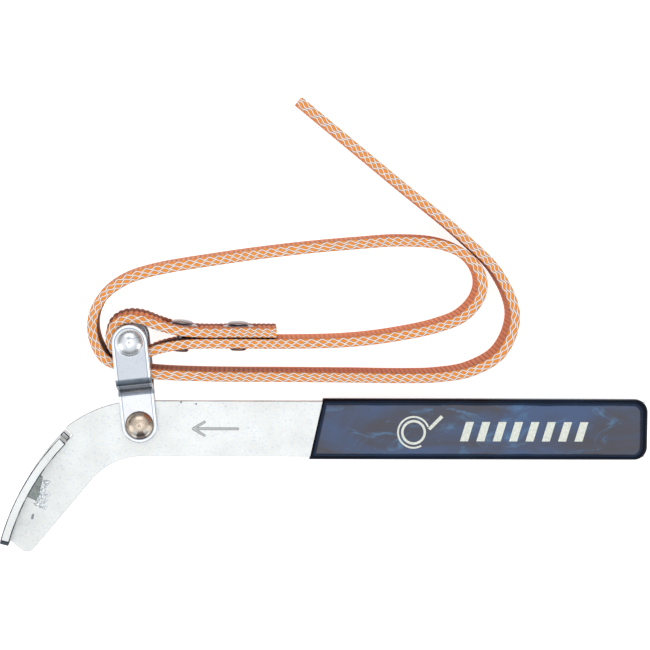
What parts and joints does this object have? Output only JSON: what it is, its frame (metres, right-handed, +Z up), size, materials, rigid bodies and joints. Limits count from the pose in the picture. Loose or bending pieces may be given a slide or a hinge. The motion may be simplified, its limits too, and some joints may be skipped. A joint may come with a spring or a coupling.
{
  "type": "oil filter wrench",
  "caption": "Strap-type oil filter wrench: bent flat steel handle with a curved shoe, a sleeved grip and a riveted link that carries a thick woven strap.",
  "frame": {"origin": "middle of the tool's box without its free strap, on the surface that it lies on", "axes": "+X along the handle towards the grip's end, +Y from the handle towards the strap, +Z up through the handle's flat face"},
  "size_m": [0.2912, 0.2043, 0.0395],
  "materials": {
    "zinc_plate": "matte zinc-plated flat steel, faintly mottled",
    "weld_metal": "dull grey plated weld bead",
    "link_zinc": "satin bright zinc-plated sheet with tumbled edges",
    "bright_zinc": "bright zinc-plated, polished dome",
    "pivot_bronze": "polished, bronze-toned passivated dome with fine scratches",
    "rivet_steel": "plain plated steel, slightly tarnished",
    "webbing": "thick woven orange-brown strap with white zigzag edge threads and cross ribs on its faces",
    "vinyl_grip": null
  },
  "bodies": {
    "handle": {"bar": "zinc_plate", "shoe_top": "zinc_plate", "shoe_bottom": "zinc_plate", "weld_top": "weld_metal", "weld_bottom": "weld_metal", "grip": "vinyl_grip", "pivot_rivet": "pivot_bronze"},
    "link": {"link_plate_top": "link_zinc", "link_plate_bottom": "link_zinc", "shackle_pin": "bright_zinc", "spacer_tube": "bright_zinc"},
    "strap": {"strap_eye": "webbing", "strap_loop": "webbing", "lap_rivet_1": "rivet_steel", "lap_rivet_2": "rivet_steel", "washer_front_1": "rivet_steel", "washer_back_1": "rivet_steel", "washer_front_2": "rivet_steel", "washer_back_2": "rivet_steel"},
    "tail": {"strap_tail": "webbing"}
  },
  "joints": [
    {"name": "link_swing", "type": "hinge", "parent": "handle", "child": "link", "pos_m": [-0.08365, 0.00352, 0.01976], "axis": [0, 0, 1], "range_deg": [0, 45]},
    {"name": "strap_swing", "type": "hinge", "parent": "link", "child": "strap", "pos_m": [-0.08772, 0.0416, 0.01976], "axis": [0, 0, 1], "range_deg": [0, 20]},
    {"name": "tail_flex", "type": "hinge", "parent": "strap", "child": "tail", "pos_m": [0.0867, 0.05274, 0.01256], "axis": [0, 0, -1], "range_deg": [0, 30]}
  ]
}
